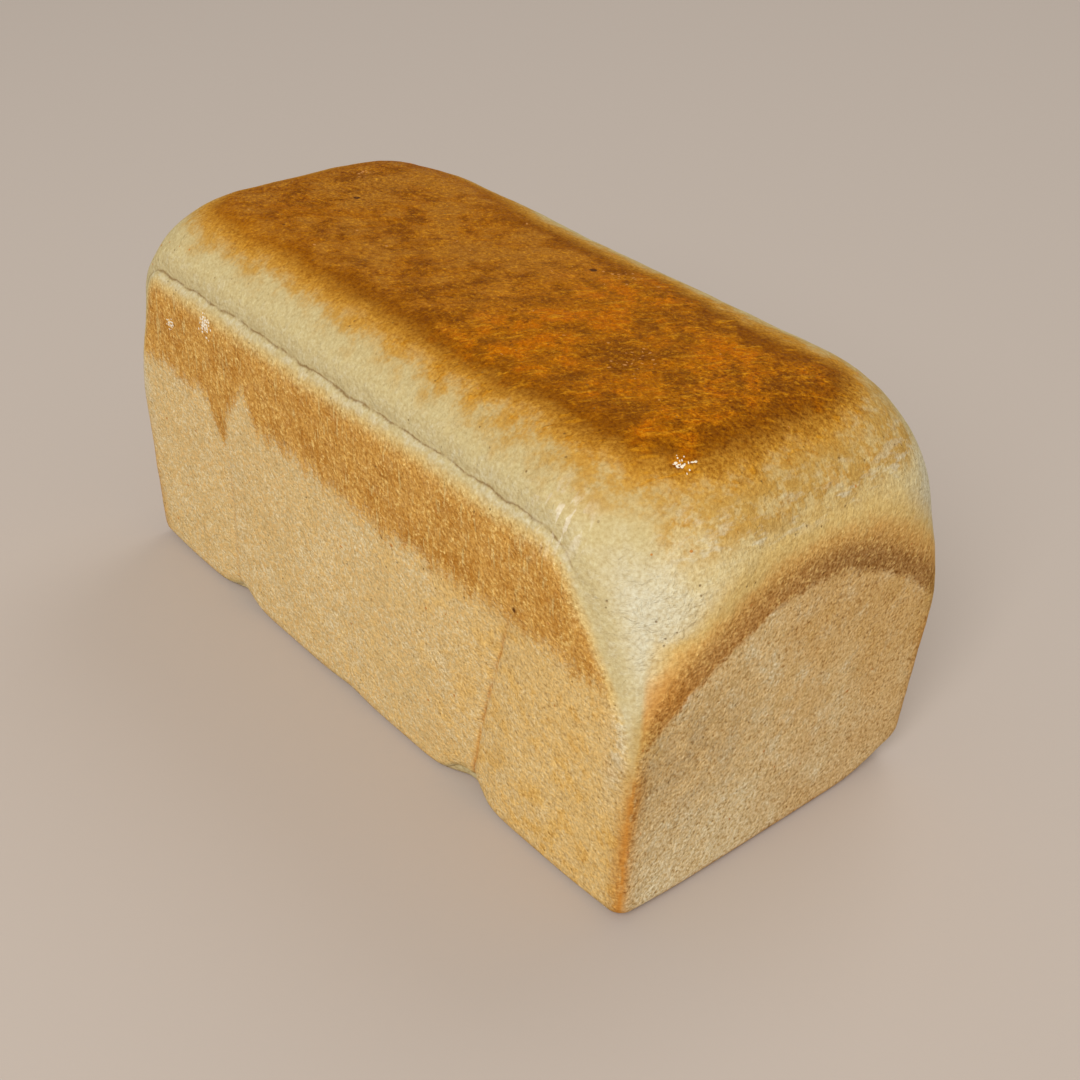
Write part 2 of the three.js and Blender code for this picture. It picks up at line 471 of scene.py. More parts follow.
def add_inputs(tree, inputs):
    """Declares a tree's named inputs and returns a field for each number among them."""
    tree.interface.new_socket("Geometry", in_out="OUTPUT", socket_type="NodeSocketGeometry")
    for name, (kind, _) in inputs.items():
        socket_type = "NodeSocketFloat" if kind == "LENGTH" else kind
        socket = tree.interface.new_socket(name, in_out="INPUT", socket_type=socket_type)
        if kind == "LENGTH":
            socket.subtype = "DISTANCE"
    group = tree.nodes.new("NodeGroupInput")
    return {name: Field(tree, group.outputs[name]) for name in inputs}


def store(tree, geometry, name, value):
    """Keeps a value at every point under a name."""
    node = tree.nodes.new("GeometryNodeStoreNamedAttribute")
    node.data_type = "FLOAT"
    node.domain = "POINT"
    tree.links.new(geometry, node.inputs["Geometry"])
    node.inputs["Name"].default_value = name
    connect(tree, node.inputs["Value"], value)
    return node.outputs["Geometry"]


def move_points(tree, geometry, position=None, offset=None):
    """Puts every point at a position, or moves it by an offset."""
    node = tree.nodes.new("GeometryNodeSetPosition")
    tree.links.new(geometry, node.inputs["Geometry"])
    if position is not None:
        connect(tree, node.inputs["Position"], position)
    if offset is not None:
        connect(tree, node.inputs["Offset"], offset)
    return node.outputs["Geometry"]


def finish_tree(tree, geometry, material, smooth=True):
    """Shades the result, makes any instances real and gives it its material."""
    shade = tree.nodes.new("GeometryNodeSetShadeSmooth")
    shade.inputs["Shade Smooth"].default_value = smooth
    real = tree.nodes.new("GeometryNodeRealizeInstances")
    paint = tree.nodes.new("GeometryNodeSetMaterial")
    out = tree.nodes.new("NodeGroupOutput")
    tree.links.new(geometry, shade.inputs["Geometry"])
    tree.links.new(shade.outputs["Geometry"], real.inputs["Geometry"])
    tree.links.new(real.outputs["Geometry"], paint.inputs["Geometry"])
    tree.links.new(material.socket, paint.inputs["Material"])
    tree.links.new(paint.outputs["Geometry"], out.inputs[0])


def loaf_tree(inputs, sizes):
    """The tree that makes the whole loaf; sizes says which input holds which size."""
    tree = bpy.data.node_groups.new("Tin loaf", "GeometryNodeTree")
    given = add_inputs(tree, inputs)
    size = {key: given[name] / MM for key, name in sizes.items()}
    cube = tree.nodes.new("GeometryNodeMeshCube")
    sides = join(given["Length"], given["Width"], given["Height"])
    tree.links.new(sides.socket, cube.inputs["Size"])
    for axis, name in zip("XYZ", ("Length", "Width", "Height")):
        connect(tree, cube.inputs[f"Vertices {axis}"], maths("CEIL", given[name] / given["Spacing"]) + 1.0)
    position = Field(tree, tree.nodes.new("GeometryNodeInputPosition").outputs[0])
    lifted = vector_maths("ADD", scaled(position, 1.0 / MM), join(0.0, 0.0, size["height"] / 2))
    x, y, z, gap, end_share, inset = loaf_form(Field(tree, lifted.outputs["Vector"]), size)

    geometry = cube.outputs["Mesh"]
    geometry = store(tree, geometry, "gap", gap)
    geometry = store(tree, geometry, "end_share", end_share)
    geometry = store(tree, geometry, "inset", inset)
    geometry = move_points(tree, geometry, position=scaled(join(x, y, z), MM))

    def stored(name):
        node = tree.nodes.new("GeometryNodeInputNamedAttribute")
        node.data_type = "FLOAT"
        node.inputs["Name"].default_value = name
        return Field(tree, node.outputs["Attribute"])

    place = scaled(position, 1.0 / MM)
    relief = loaf_relief(place, stored("gap"), stored("end_share"), stored("inset"))
    geometry = store(tree, geometry, "relief", relief)
    normal = Field(tree, tree.nodes.new("GeometryNodeInputNormal").outputs[0])
    geometry = move_points(tree, geometry, offset=scaled(normal, stored("relief") * MM))
    finish_tree(tree, geometry, given["Crust"])
    return tree


def speck_tree(name, inputs, spots):
    """A tree that scatters small lumps over a surface, thickly at the named spots."""
    tree = bpy.data.node_groups.new(name, "GeometryNodeTree")
    given = add_inputs(tree, inputs)
    position = Field(tree, tree.nodes.new("GeometryNodeInputPosition").outputs[0])
    place = scaled(position, 1.0 / MM)
    density = given["Density"] * rise(*SPECK_HEIGHT, split(place)[2])
    for spot in spots:
        density = larger(density, given["Spot density"] * near(place, spot))
    scatter = tree.nodes.new("GeometryNodeDistributePointsOnFaces")
    tree.links.new(given["Surface"].socket, scatter.inputs["Mesh"])
    connect(tree, scatter.inputs["Density"], density)
    scatter.inputs["Seed"].default_value = int(SEED)
    lump = tree.nodes.new("GeometryNodeMeshIcoSphere")
    connect(tree, lump.inputs["Radius"], given["Radius"])
    spread = tree.nodes.new("FunctionNodeRandomValue")
    spread.data_type = "FLOAT_VECTOR"
    spread.inputs["Min"].default_value = SPECK_SMALLEST
    spread.inputs["Max"].default_value = SPECK_LARGEST
    spread.inputs["Seed"].default_value = int(SEED)
    copies = tree.nodes.new("GeometryNodeInstanceOnPoints")
    tree.links.new(scatter.outputs["Points"], copies.inputs["Points"])
    tree.links.new(lump.outputs["Mesh"], copies.inputs["Instance"])
    tree.links.new(scatter.outputs["Rotation"], copies.inputs["Rotation"])
    tree.links.new(spread.outputs["Value"], copies.inputs["Scale"])
    finish_tree(tree, copies.outputs["Instances"], given["Material"], smooth=False)
    return tree


def run_tree(name, tree, inputs, source=None):
    """Runs a tree once on a new object and returns it as a plain mesh object at the origin."""
    if source is None:
        source = bpy.data.meshes.new(name + ".start")
    carrier = bpy.data.objects.new(name, source)
    bpy.context.scene.collection.objects.link(carrier)
    modifier = carrier.modifiers.new("Make", "NODES")
    modifier.node_group = tree
    for item in tree.interface.items_tree:
        if item.in_out == "INPUT" and item.socket_type != "NodeSocketGeometry":
            modifier[item.identifier] = inputs[item.name][1]
    bpy.context.view_layer.update()
    evaluated = carrier.evaluated_get(bpy.context.evaluated_depsgraph_get())
    mesh = bpy.data.meshes.new_from_object(evaluated)
    carrier.modifiers.clear()
    carrier.data = mesh
    mesh.name = name
    if not mesh.polygons:
        raise RuntimeError(f"{name} came out empty")
    return carrier


# ---- Materials.

def colour_mix(tree, a, b, share):
    """Colour a where the share is 0 and colour b where it is 1."""
    node = tree.nodes.new("ShaderNodeMix")
    node.data_type = "RGBA"
    node.clamp_factor = True
    colours = [socket for socket in node.inputs if socket.type == "RGBA"]
    connect(tree, node.inputs["Factor"], share)
    for socket, value in zip(colours, (a, b)):
        connect(tree, socket, value)
    result = next(socket for socket in node.outputs if socket.type == "RGBA")
    return Field(tree, result)


def attribute(tree, name):
    """A value that the loaf's tree has kept at every point."""
    node = tree.nodes.new("ShaderNodeAttribute")
    node.attribute_name = name
    return Field(tree, node.outputs["Fac"])


class Look:
    """Where a point of the crust is, and the random fields that its colours share."""

    def __init__(self, tree, colours):
        self.tree = tree
        self.colours = colours
        coords = tree.nodes.new("ShaderNodeTexCoord")
        self.place = scaled(Field(tree, coords.outputs["Object"]), 1.0 / MM)
        self.x, self.y, self.z = split(self.place)
        self.gap = attribute(tree, "gap")
        self.end = attribute(tree, "end_share")
        x, y, z = self.x, self.y, self.z
        # Shares: on the flat top, in its right half, on the underside and on an end wall. An end wall
        # begins at the upright corner, sharply low down and softly above.
        self.up = rise(*TOP_SETS_IN, z)
        self.right = rise(*RIGHT_SETS_IN, x)
        spread = 0.06 + 0.26 * rise(72.0, 104.0, z)
        self.corner = 0.49 + 0.12 * rise(20.0, 62.0, z)
        self.under = rise(*UNDER_INSET, attribute(tree, "inset")) * (1.0 - rise(*UNDER_HEIGHT, z))
        self.on_end = rise(self.corner - spread, self.corner + spread, self.end) * (1.0 - self.under)
        # Height above an end's arch, less towards the sides.
        across = smaller(abs(y) / ARCH["half_width"], 1.2)
        arch = z - ARCH["height"] + ARCH["fall"] * power(across, ARCH["power"])
        self.arch = arch * (1.0 - 0.22 * across)
        # Grain, from the finest to the broadest.
        self.dust = 1.9 * noise(self.place, 0.85, seed=33, detail=1.0)
        self.sand = 1.7 * noise(self.place, 1.5, seed=12, detail=3.0, roughness=0.85)
        self.streak = noise(join(x, y, z * 0.12), 2.2, seed=13, detail=4.0, roughness=0.65)
        self.fibre = noise(slanted(self, 0.42), 2.4, seed=23, detail=4.0, roughness=0.72, warp=0.4)
        self.clump = 1.2 * noise(self.place, 3.2, seed=11, detail=3.0, roughness=0.7)
        self.cloud = noise(self.place, 8.0, seed=15, detail=4.0, roughness=0.6)
        self.patch = noise(self.place, 26.0, seed=14, detail=3.0)

    def coated(self, colour, *coats):
        """Lays coats over a colour, each a colour and its share; any colour may be given by its name."""
        for coat, share in coats:
            below, above = (self.colours.get(item, item) for item in (colour, coat))
            colour = colour_mix(self.tree, below, above, share)
        return colour


def slanted(look, squeeze):
    """The place, turned in plan and squeezed across, so that grain in it runs aslant."""
    cos, sin = SLANT
    return join(cos * look.x - sin * look.y, (sin * look.x + cos * look.y) * squeeze, look.z)


def side_colour(look):
    """Long walls: sandy where the tin held them, browner above a ragged line, pale at the shred line."""
    x, y, z, sand, clump, cloud = look.x, look.y, look.z, look.sand, look.clump, look.cloud
    scratches = noise(join(x, y, z * 0.14), 1.1, seed=35, detail=1.0)
    brown = look.coated(
        "band",
        ("band_dark", rise(-0.3, 0.9, cloud + 0.6 * clump + 0.5 * sand)),
        ("band_light", 0.85 * rise(0.15, 0.8, 0.8 * sand + 0.5 * look.streak)),
        ("yellow", 0.6 * rise(0.55, 1.0, scratches + 0.3 * cloud)))

    tongue = BAND_TONGUE["fall"] * bell(x - BAND_TONGUE["x"], BAND_TONGUE["width"])
    bay = BAND_BAY["rise"] * bell(x - BAND_BAY["x"], BAND_BAY["width"])
    line = BAND_LINE + (bay - tongue) * (0.5 - 0.5 * sign(y))
    ragged = noise(join(x, y, z * 0.15), 15.0, seed=16, detail=4.0, roughness=0.65)
    above = z - line - 3.6 * ragged - 2.6 * look.streak + 1.2 * clump + 1.2 * sand
    warm = rise(-0.1, 0.7, cloud + 0.5 * clump + 0.3 * look.patch)
    warm = 0.15 + 0.35 * rise(20.0, 90.0, x) + 0.5 * warm * (0.3 + 0.7 * rise(-60.0, 90.0, x))
    blotch = rise(0.1, 0.9, cloud + 0.7 * clump + 0.3 * sand) * rise(30.0, 90.0, x + 0.3 * (60.0 - z))
    margin = look.gap + 0.08 * clump + 0.1 * cloud + 0.08 * look.streak
    return look.coated(
        "sandy",
        ("sandy_dark", 0.9 * rise(0.0, 0.6, sand + 0.4 * look.dust)),
        ("sandy_pale_and_bounce_light", 0.8 * rise(0.0, 0.6, 0.5 * look.patch + 0.3 * clump - sand)),
        ("band_light", warm),
        ("band", 0.4 * blotch),
        (brown, rise(-3.5, 4.0, above + 1.2 * sand)),
        ("yellow", 0.8 * rise(0.02, 0.75, margin)),
        ("cream", rise(0.5, 1.5, margin)))


def end_colour(look):
    """End walls: greyer and coarser, paler low down with painted bounce light, with a brown arch, then
    yellow, pale and mottled crust above it.
    """
    z, sand, clump, cloud = look.z, look.sand, look.clump, look.cloud
    above = look.arch - 0.9 * clump - 0.5 * sand
    edge = 1.0 - rise(2.5, 13.0, above + cloud)
    darker = rise(-0.6, 0.3, look.y / ARCH["half_width"] + 0.2 * cloud)
    brown = look.coated(
        "band_end",
        ("end_brown", edge * (0.2 + 0.55 * darker)),
        ("band_light", 0.4 * rise(4.0, 12.0, above + 1.5 * cloud)),
        ("band_light", 0.45 * rise(0.2, 0.9, sand)),
        ("edge_brown", 0.8 * near(look.place, BROWN_BLOTCH)))

    dull = near(look.place, DULL_PATCH) * rise(-1.0, 0.5, cloud + clump)
    mottle = 0.3 + 0.7 * rise(-0.4, 0.4, 0.6 * cloud + 0.7 * clump + 0.3 * look.patch)
    strokes = noise(join(look.x, look.y * 0.3, z), 2.6, seed=31, detail=3.0, roughness=0.6)
    pale = larger(bell(z - 105.5 - 1.5 * cloud, 3.5), 0.7 * rise(104.0, 110.0, z))
    return look.coated(
        "sandy_end",
        ("grain_dark", 0.5 * rise(-0.4, 0.9, sand + 0.5 * clump + 0.3 * look.dust)),
        ("sandy_pale_and_bounce_light", 0.6 * rise(0.0, 0.9, cloud + 0.5 * clump - 0.7 * sand)),
        ("ochre", 0.35 * rise(0.1, 0.9, 0.7 * clump - 0.8 * cloud + 0.4 * sand)),
        # Paler low down on the end walls: painted bounce light from the floor.
        ("sandy_pale_and_bounce_light", 0.4 * (1.0 - rise(5.0, 55.0, z))),
        ("band", 0.45 * rise(-0.4, 0.8, look.patch + look.y / 60.0)),
        ("grain_dark", 0.45 * dull),
        (brown, rise(-1.8, 1.2, above)),
        ("end_yellow", rise(9.5, 16.0, above + 1.8 * cloud + 0.7 * sand)),
        ("end_cream", 0.85 * rise(16.0, 24.0, above + 2.5 * cloud)),
        ("ochre", 0.95 * rise(101.0, 109.0, z + 2.0 * cloud) * mottle),
        ("orange", 0.5 * rise(104.0, 111.0, z) * rise(0.0, 0.7, 0.8 * clump - cloud)),
        ("corner_cream_and_highlight", 0.6 * pale * rise(0.05, 0.7, strokes + 0.3 * cloud)))


def base_colour(look):
    """The flat underside, evenly baked."""
    return look.coated(
        "sandy",
        ("sandy_dark", rise(-0.6, 0.8, look.sand + 0.5 * look.dust)),
        ("band", 0.45 * rise(-0.4, 0.9, look.cloud + look.patch)))


def pale_corner_and_highlight(look):
    """Palest crust at the top corners, where the dough touched nothing, whitened further by a painted
    highlight.
    """
    from_corner = larger(SIZE.x / 2 / MM - abs(look.x), SIZE.y / 2 / MM - abs(look.y))
    share = rise(0.8 + 1.4 * rise(76.0, 94.0, look.z), 8.0, look.gap + 0.6 * look.cloud)
    over_arch = look.on_end * rise(13.0, 21.0, look.arch + 2.5 * look.cloud + 1.5 * look.clump)
    share = larger(share, 0.9 * over_arch)
    share = share * (1.0 - rise(12.0, 34.0, from_corner + 4.0 * look.cloud + 2.0 * look.clump))
    return share * rise(64.0, 71.0, look.z) * (1.0 - rise(94.0, 110.0, look.z + 4.0 * look.cloud))


def corner_marks(look, colour):
    """A pale strip and a brown line down the upright corners, and a brown line along the foot."""
    z, clump = look.z, look.clump
    strip = bell(look.end - look.corner + 0.3 + 0.03 * clump, 0.14) * rise(28.0, 60.0, z)
    strip = strip * (1.0 - rise(66.0, 72.0, z)) * rise(-0.9, 0.4, look.cloud + clump)
    edge = look.end - look.corner + 0.02 * look.streak + 0.02 * clump
    strength = rise(-1.5, 0.0, look.streak + 0.5 * clump)
    foot = (1.0 - rise(0.6, 3.4, z + 0.6 * clump)) * (1.0 - look.under)
    return look.coated(
        colour,
        ("corner_cream_and_highlight", 0.6 * strip),
        ("ochre", 0.55 * bell(edge, 0.2) * (1.0 - rise(62.0, 71.0, z)) * strength),
        ("edge_brown", bell(edge, 0.14) * (1.0 - rise(42.0, 60.0, z)) * strength),
        ("edge_brown", foot * (0.35 + 0.45 * look.on_end)))


def crease_marks(look, colour):
    """A brown line up each crease, and yellow crust torn open above it."""
    z, clump = look.z, look.clump
    for crease in CREASES:
        top = crease["top"]
        line = crease_line(crease, look.x, z) - 0.4 * look.cloud
        share = crease["depth"] ** 2 * on_crease_side(crease, look.y)
        brown = bell(line, 0.7) * (1.0 - rise(top - 22.0, top + 2.0, z)) * (1.0 - look.on_end)
        brown = brown * rise(-0.8, 0.2, clump + 0.5 * look.streak)
        torn = bell(line + 0.6 * look.streak, 0.9) * rise(top - 2.0, top + 4.0, z)
        torn = torn * (1.0 - rise(94.0, 101.0, z)) * rise(-0.3, 0.4, clump)
        colour = look.coated(colour, ("edge_brown", 0.75 * share * brown), ("yellow", 0.6 * share * torn))
    return colour


def shred_marks(look, colour):
    """The shred line: a greyish valley of painted shade with a pale lip below it, partly a painted highlight,
    a dark crack of painted shade, and pale rags above.
    """
    x, cloud = look.x, look.cloud
    shred = shred_line(look.gap, line_wander(look.place))
    on_long = 1.0 - rise(0.2, 0.45, look.end)
    # The pale lip carries a painted highlight, and the dark crack is painted shade.
    lip = bell(shred + 0.45, 0.35) * (1.0 - rise(90.0, 100.0, x)) * rise(-0.4, 0.5, look.fibre + 0.5 * cloud)
    crack = bell(shred + 0.07 * cloud, 0.13) * (1.0 - rise(88.0, 98.0, x))
    crack = crack * rise(-1.1, 0.2, cloud + 0.5 * look.clump)
    rags = bell(shred - 1.5, 2.5) * rise(0.0, 0.5, look.fibre)
    return look.coated(
        colour,
        # The greyish valley is painted shade.
        ("valley_shade", 0.5 * bell(shred - 0.7, 1.3) * on_long),
        ("corner_cream_and_highlight", 0.45 * lip * on_long),
        ("shaded_prick", 0.75 * crack * on_long),
        ("corner_cream_and_highlight", 0.27 * rags * on_long))


def flour_marks(look, colour):
    """White strokes and a dusted patch on the shoulders."""
    strokes = noise(join(look.x, look.y * 0.35, look.z * 0.35), 1.9, seed=34, warp=0.4)
    strokes = near(look.place, WHITE_STROKES) * rise(0.15, 0.6, strokes)
    dusted = near(look.place, DUSTED_PATCH) * rise(-0.3, 0.5, look.clump)
    return look.coated(colour, ("flour", larger(0.85 * strokes, 0.7 * dusted)))


def lid_depth(look):
    """How far inside the uneven edge of the browned top a point is, in millimetres."""
    radius = mix(LID_CORNER["left"], LID_CORNER["right"], look.right)
    bulge_right = LID_BULGE_RIGHT["depth"] * rise(*LID_BULGE_RIGHT["span"], look.x)
    bulge_left = LID_BULGE_LEFT["depth"] * rise(*LID_BULGE_LEFT["span"], -look.x)
    back = LID_BACK + bulge_right + bulge_left
    edge_x = larger(abs(look.x - LID_MIDDLE) - (LID_HALF_LENGTH - radius), 0.0)
    from_middle = abs(look.y - 0.5 * (LID_FRONT + back))
    edge_y = larger(from_middle - (0.5 * (back - LID_FRONT) - radius), 0.0)
    depth = radius - diagonal(edge_x, edge_y)
    ragged = 0.55 + 0.45 * look.right
    depth = depth + (2.3 * look.cloud + 1.2 * look.clump) * ragged + 1.5 * look.patch
    return depth + 0.5 * look.fibre + 0.4 * look.sand


def top_colour(look, colour, lid):
    """The flat top, browned against the lid, with darker and brighter patches, and duller, greyer patches of
    painted sheen on its left half.
    """
    fibre, cloud, sand, patch = look.fibre, look.cloud, look.sand, look.patch
    rim = look.coated("top", ("top_dark", 0.4 + 0.6 * rise(-70.0, -10.0, look.x)))
    bright = rise(0.0, 0.6, cloud + 0.4 * fibre + 0.5 * patch + 0.3 * sand)
    # The greyer patches on the left half are painted sheen.
    dull = (1.0 - rise(0.0, 0.6, look.right)) * rise(-0.7, 0.5, cloud + patch)
    middle = look.coated(
        "top",
        ("top_dark", rise(-0.15, 0.65, 0.6 * fibre - 0.9 * cloud - 0.3 * patch)),
        ("top_orange", bright * rise(0.0, 0.5, look.right + 0.2 * patch)),
        ("top_sheen", 0.65 * dull),
        ("flake", 0.45 * rise(0.3, 0.9, sand - 0.2 * fibre)))

    reach = 6.0 + 3.0 * look.right + 8.0 * rise(60.0, 100.0, look.x)
    mottled = 0.5 + 0.5 * rise(-0.5, 0.4, 0.6 * cloud + 0.7 * look.clump)
    return look.coated(
        colour,
        ("ochre", rise(-2.0 - reach, -1.0, lid + 1.5 * cloud) * look.up * mottled),
        ("orange", rise(-5.0, 2.5, lid) * look.up),
        (rim, rise(-0.5, 7.5, lid) * look.up),
        (middle, rise(4.0, 15.0, lid + 3.0 * cloud + 2.5 * patch) * look.up))


def torn_flakes(look, lid):
    """Thin torn edges on the top, mostly towards its right end."""
    dashes = noise(slanted(look, 0.22), 1.9, seed=21, warp=0.4)
    torn = rise(0.35, 0.75, dashes + 0.4 * look.cloud)
    share = 0.12 + 0.88 * rise(0.05, 0.5, look.right + 0.2 * look.patch)
    return torn * look.up * rise(-6.0, 2.0, lid) * share


def crust_material(colours):
    """The baked crust: sandy walls, brown bands, pale shoulders and a dark top, all with their grain."""
    material = bpy.data.materials.new("Crust")
    material.use_nodes = True
    tree = material.node_tree
    shader = tree.nodes["Principled BSDF"]
    look = Look(tree, colours)
    # The palest corners carry a painted highlight on their pale crust.
    corner = pale_corner_and_highlight(look)
    colour = look.coated(side_colour(look), (end_colour(look), look.on_end), ("corner_cream_and_highlight", 0.95 * corner))
    for marks in (corner_marks, crease_marks, shred_marks, flour_marks):
        colour = marks(look, colour)
    colour = look.coated(colour, (base_colour(look), look.under))
    lid = lid_depth(look)
    colour = top_colour(look, colour, lid)

    torn = torn_flakes(look, lid)
    # Painted shade darkens the pin pricks and the pits.
    shaded_prick = (1.0 - rise(*PRICK_RADIUS, cells(look.place, PRICK_SPACING))) * rise(-0.3, 0.4, look.cloud)
    shaded_hole = 0.0
    for shaded_pit in PITS:
        shaded_hole = larger(shaded_hole, near(look.place, shaded_pit))
    colour = look.coated(colour, ("flake", 0.6 * torn), ("shaded_prick", 0.7 * shaded_prick), ("shaded_pit", rise(0.1, 0.5, shaded_hole)))

    lidded = rise(-4.0, 3.0, lid) * look.up
    calm = look.on_end * rise(6.0, 14.0, look.arch)
    free = larger(rise(0.3, 1.3, look.gap), calm) * (1.0 - lidded)
    gritty = (1.0 + 0.35 * look.on_end) * (1.0 - 0.6 * free)
    shade = 1.0 + gritty * (0.18 * look.sand + 0.15 * look.dust + 0.07 * look.clump)
    shade = larger(shade + lidded * (0.05 * look.cloud + 0.05 * look.patch), 0.3)
    # Dark grains are also of a richer brown, and light ones of a paler yellow.
    tones = join(power(shade, 0.8), power(shade, 1.1), power(shade, 1.6))
    toned = vector_maths("MULTIPLY", colour, tones)
    tree.links.new(toned.outputs["Vector"], shader.inputs["Base Color"])

    shine = rise(2.0, 9.0, lid) * look.up
    connect(tree, shader.inputs["Roughness"], ROUGHNESS - 0.16 * shine - 0.1 * corner)
    shader.inputs["Specular IOR Level"].default_value = SPECULAR
    creased = noise(look.place, 3.2, seed=32, detail=3.0, roughness=0.6, warp=0.8)
    wrinkled = rise(0.7, 2.5, look.gap) * (1.0 - 0.6 * look.up)
    height = look.sand * 0.35 * gritty + look.clump * 0.3 + torn * 0.6 - shaded_prick * 0.7 - shaded_hole * 1.5
    height = height + creased * wrinkled * (0.4 + 0.6 * corner) + look.fibre * look.up * 0.5
    bump = tree.nodes.new("ShaderNodeBump")
    bump.inputs["Distance"].default_value = BUMP_DISTANCE
    bump.inputs["Strength"].default_value = BUMP_STRENGTH
    connect(tree, bump.inputs["Height"], height)
    tree.links.new(bump.outputs[0], shader.inputs["Normal"])
    return material


def plain_material(name, colour, roughness):
    """One colour all over."""
    material = bpy.data.materials.new(name)
    material.use_nodes = True
    shader = material.node_tree.nodes["Principled BSDF"]
    shader.inputs["Base Color"].default_value = colour
    shader.inputs["Roughness"].default_value = roughness
    return material


def srgb(red, green, blue):
    """A colour given as 0 to 255 screen values."""
    def linear(value):
        value = value / 255
        return value / 12.92 if value <= 0.04045 else ((value + 0.055) / 1.055) ** 2.4
    return (linear(red), linear(green), linear(blue), 1.0)


# ---- What a user would change.

def length_property(name, description, default):
    return bpy.props.FloatProperty(
        name=name, description=description, default=default, min=0.0, unit="LENGTH", subtype="DISTANCE")


def colour_property(name, description, default):
    return bpy.props.FloatVectorProperty(
        name=name, description=description, default=default, size=4, min=0.0, max=1.0, subtype="COLOR")


class LoafSizes(bpy.types.PropertyGroup):
    length: length_property("Length", "Length at the top of the walls", SIZE.x)
    width: length_property("Width", "Width at the top of the walls", SIZE.y)
    height: length_property("Height", "Height of the flat top", SIZE.z)
    spacing: length_property("Spacing", "Distance between the points of the crust", 1.22 * MM)
    shoulder_reach: length_property("Shoulder reach", "How far a long shoulder reaches in", 29 * MM)
    shoulder_drop: length_property("Shoulder drop", "How far a long shoulder reaches down", 30 * MM)
    end_drop: length_property("End shoulder drop", "How far an end's shoulder reaches down", 34 * MM)
    end_lean: length_property("End lean", "How far an end leans in at the base", 3.2 * MM)
    side_lean: length_property("Side lean", "How far a long side leans in at the base", 5 * MM)
    corner_low: length_property("Corner low", "Radius of the upright corners below", 4 * MM)
    corner_right: length_property("Corner right", "Top radius of the front right corner", 42 * MM)
    corner_left: length_property("Corner left", "Top radius of the front left corner", 26 * MM)
    bottom_round: length_property("Bottom round", "Radius of the bottom edge", 3 * MM)


class SpeckSizes(bpy.types.PropertyGroup):
    flour_radius: length_property("Flour radius", "Middling radius of a speck of flour", 0.34 * MM)
    crumb_radius: length_property("Crumb radius", "Middling radius of a crumb", 0.4 * MM)


class LoafColours(bpy.types.PropertyGroup):
    sandy: colour_property("Sandy", "Long walls where the tin held them", srgb(212, 186, 132))
    sandy_dark: colour_property("Sandy dark", "Darker grains of the long walls", srgb(199, 157, 96))
    # Also paints bounce light low on the end walls.
    sandy_pale_and_bounce_light: colour_property("Sandy light", "Pale floury patches of the walls", srgb(224, 208, 168))
    sandy_end: colour_property("Sandy end", "End walls where the tin held them", srgb(228, 194, 136))
    grain_dark: colour_property("Grain dark", "Dark grains of the end walls", srgb(164, 128, 80))
    band: colour_property("Band", "Brown band along the long walls", srgb(198, 146, 70))
    band_dark: colour_property("Band dark", "Darker grains of the brown band", srgb(176, 118, 42))
    band_light: colour_property("Band light", "Paler grains of the brown bands", srgb(216, 174, 98))
    edge_brown: colour_property("Edge brown", "Upright corners, creases and foot", srgb(186, 126, 54))
    band_end: colour_property("End band", "Brown band over an end's arch", srgb(198, 146, 80))
    end_brown: colour_property("End brown", "Darkest part of an end's brown band", srgb(150, 108, 60))
    end_yellow: colour_property("End yellow", "Crust over an end's brown arch", srgb(206, 174, 108))
    end_cream: colour_property("End cream", "Pale crust under an end's shoulder", srgb(198, 178, 128))
    yellow: colour_property("Yellow", "Soft yellow under the shoulders", srgb(206, 176, 112))
    cream: colour_property("Cream", "Pale shoulders", srgb(188, 169, 120))
    # Painted shade in the valley of the shred line.
    valley_shade: colour_property("Grey cream", "Valley of the shred line", srgb(182, 166, 124))
    # Partly a painted highlight, on the top corners and the shred line's lip.
    corner_cream_and_highlight: colour_property("Corner cream", "Palest crust, at the top corners", srgb(200, 190, 160))
    ochre: colour_property("Ochre", "Mottled crust round the top", srgb(178, 138, 68))
    orange: colour_property("Orange", "Edge of the browned top", srgb(180, 126, 42))
    top: colour_property("Top", "Middle of the browned top", srgb(157, 91, 2))
    top_dark: colour_property("Top dark", "Darkest part of the top", srgb(129, 73, 3))
    top_orange: colour_property("Top orange", "Bright patches of the top", srgb(172, 93, 0))
    # Painted sheen on the left half of the top.
    top_sheen: colour_property("Top grey", "Duller patches of the top", srgb(158, 104, 32))
    flake: colour_property("Flake", "Torn flakes of the top", srgb(186, 122, 20))
    # These two are painted shade, in the pin pricks and the shred line's crack, and in the pits.
    shaded_prick: colour_property("Pin prick", "Tiny dark holes", srgb(120, 88, 46))
    shaded_pit: colour_property("Pit", "Larger dark holes", srgb(88, 50, 20))
    flour: colour_property("Flour", "Specks of flour", srgb(222, 210, 186))
    crumb: colour_property("Crumb", "Crumbs and torn flakes", srgb(178, 118, 46))


# ---- Operators.

class LOAF_OT_make_crust(bpy.types.Operator):
    """Makes the loaf from its sizes, in its baked crust"""
    bl_idname = "tin_loaf.make_crust"
    bl_label = "Make Crust"

    def execute(self, context):
        sizes = context.scene.loaf_sizes
        chosen = context.scene.loaf_colours
        colours = {key: tuple(getattr(chosen, key)) for key in LoafColours.__annotations__}
        names = {key: sizes.bl_rna.properties[key].name for key in LoafSizes.__annotations__}
        inputs = {name: ("LENGTH", getattr(sizes, key)) for key, name in names.items()}
        inputs["Crust"] = ("NodeSocketMaterial", crust_material(colours))
        crust = run_tree("loaf_crust", loaf_tree(inputs, names), inputs)
        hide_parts("loaf")
        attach(crust, "root")
        return {"FINISHED"}


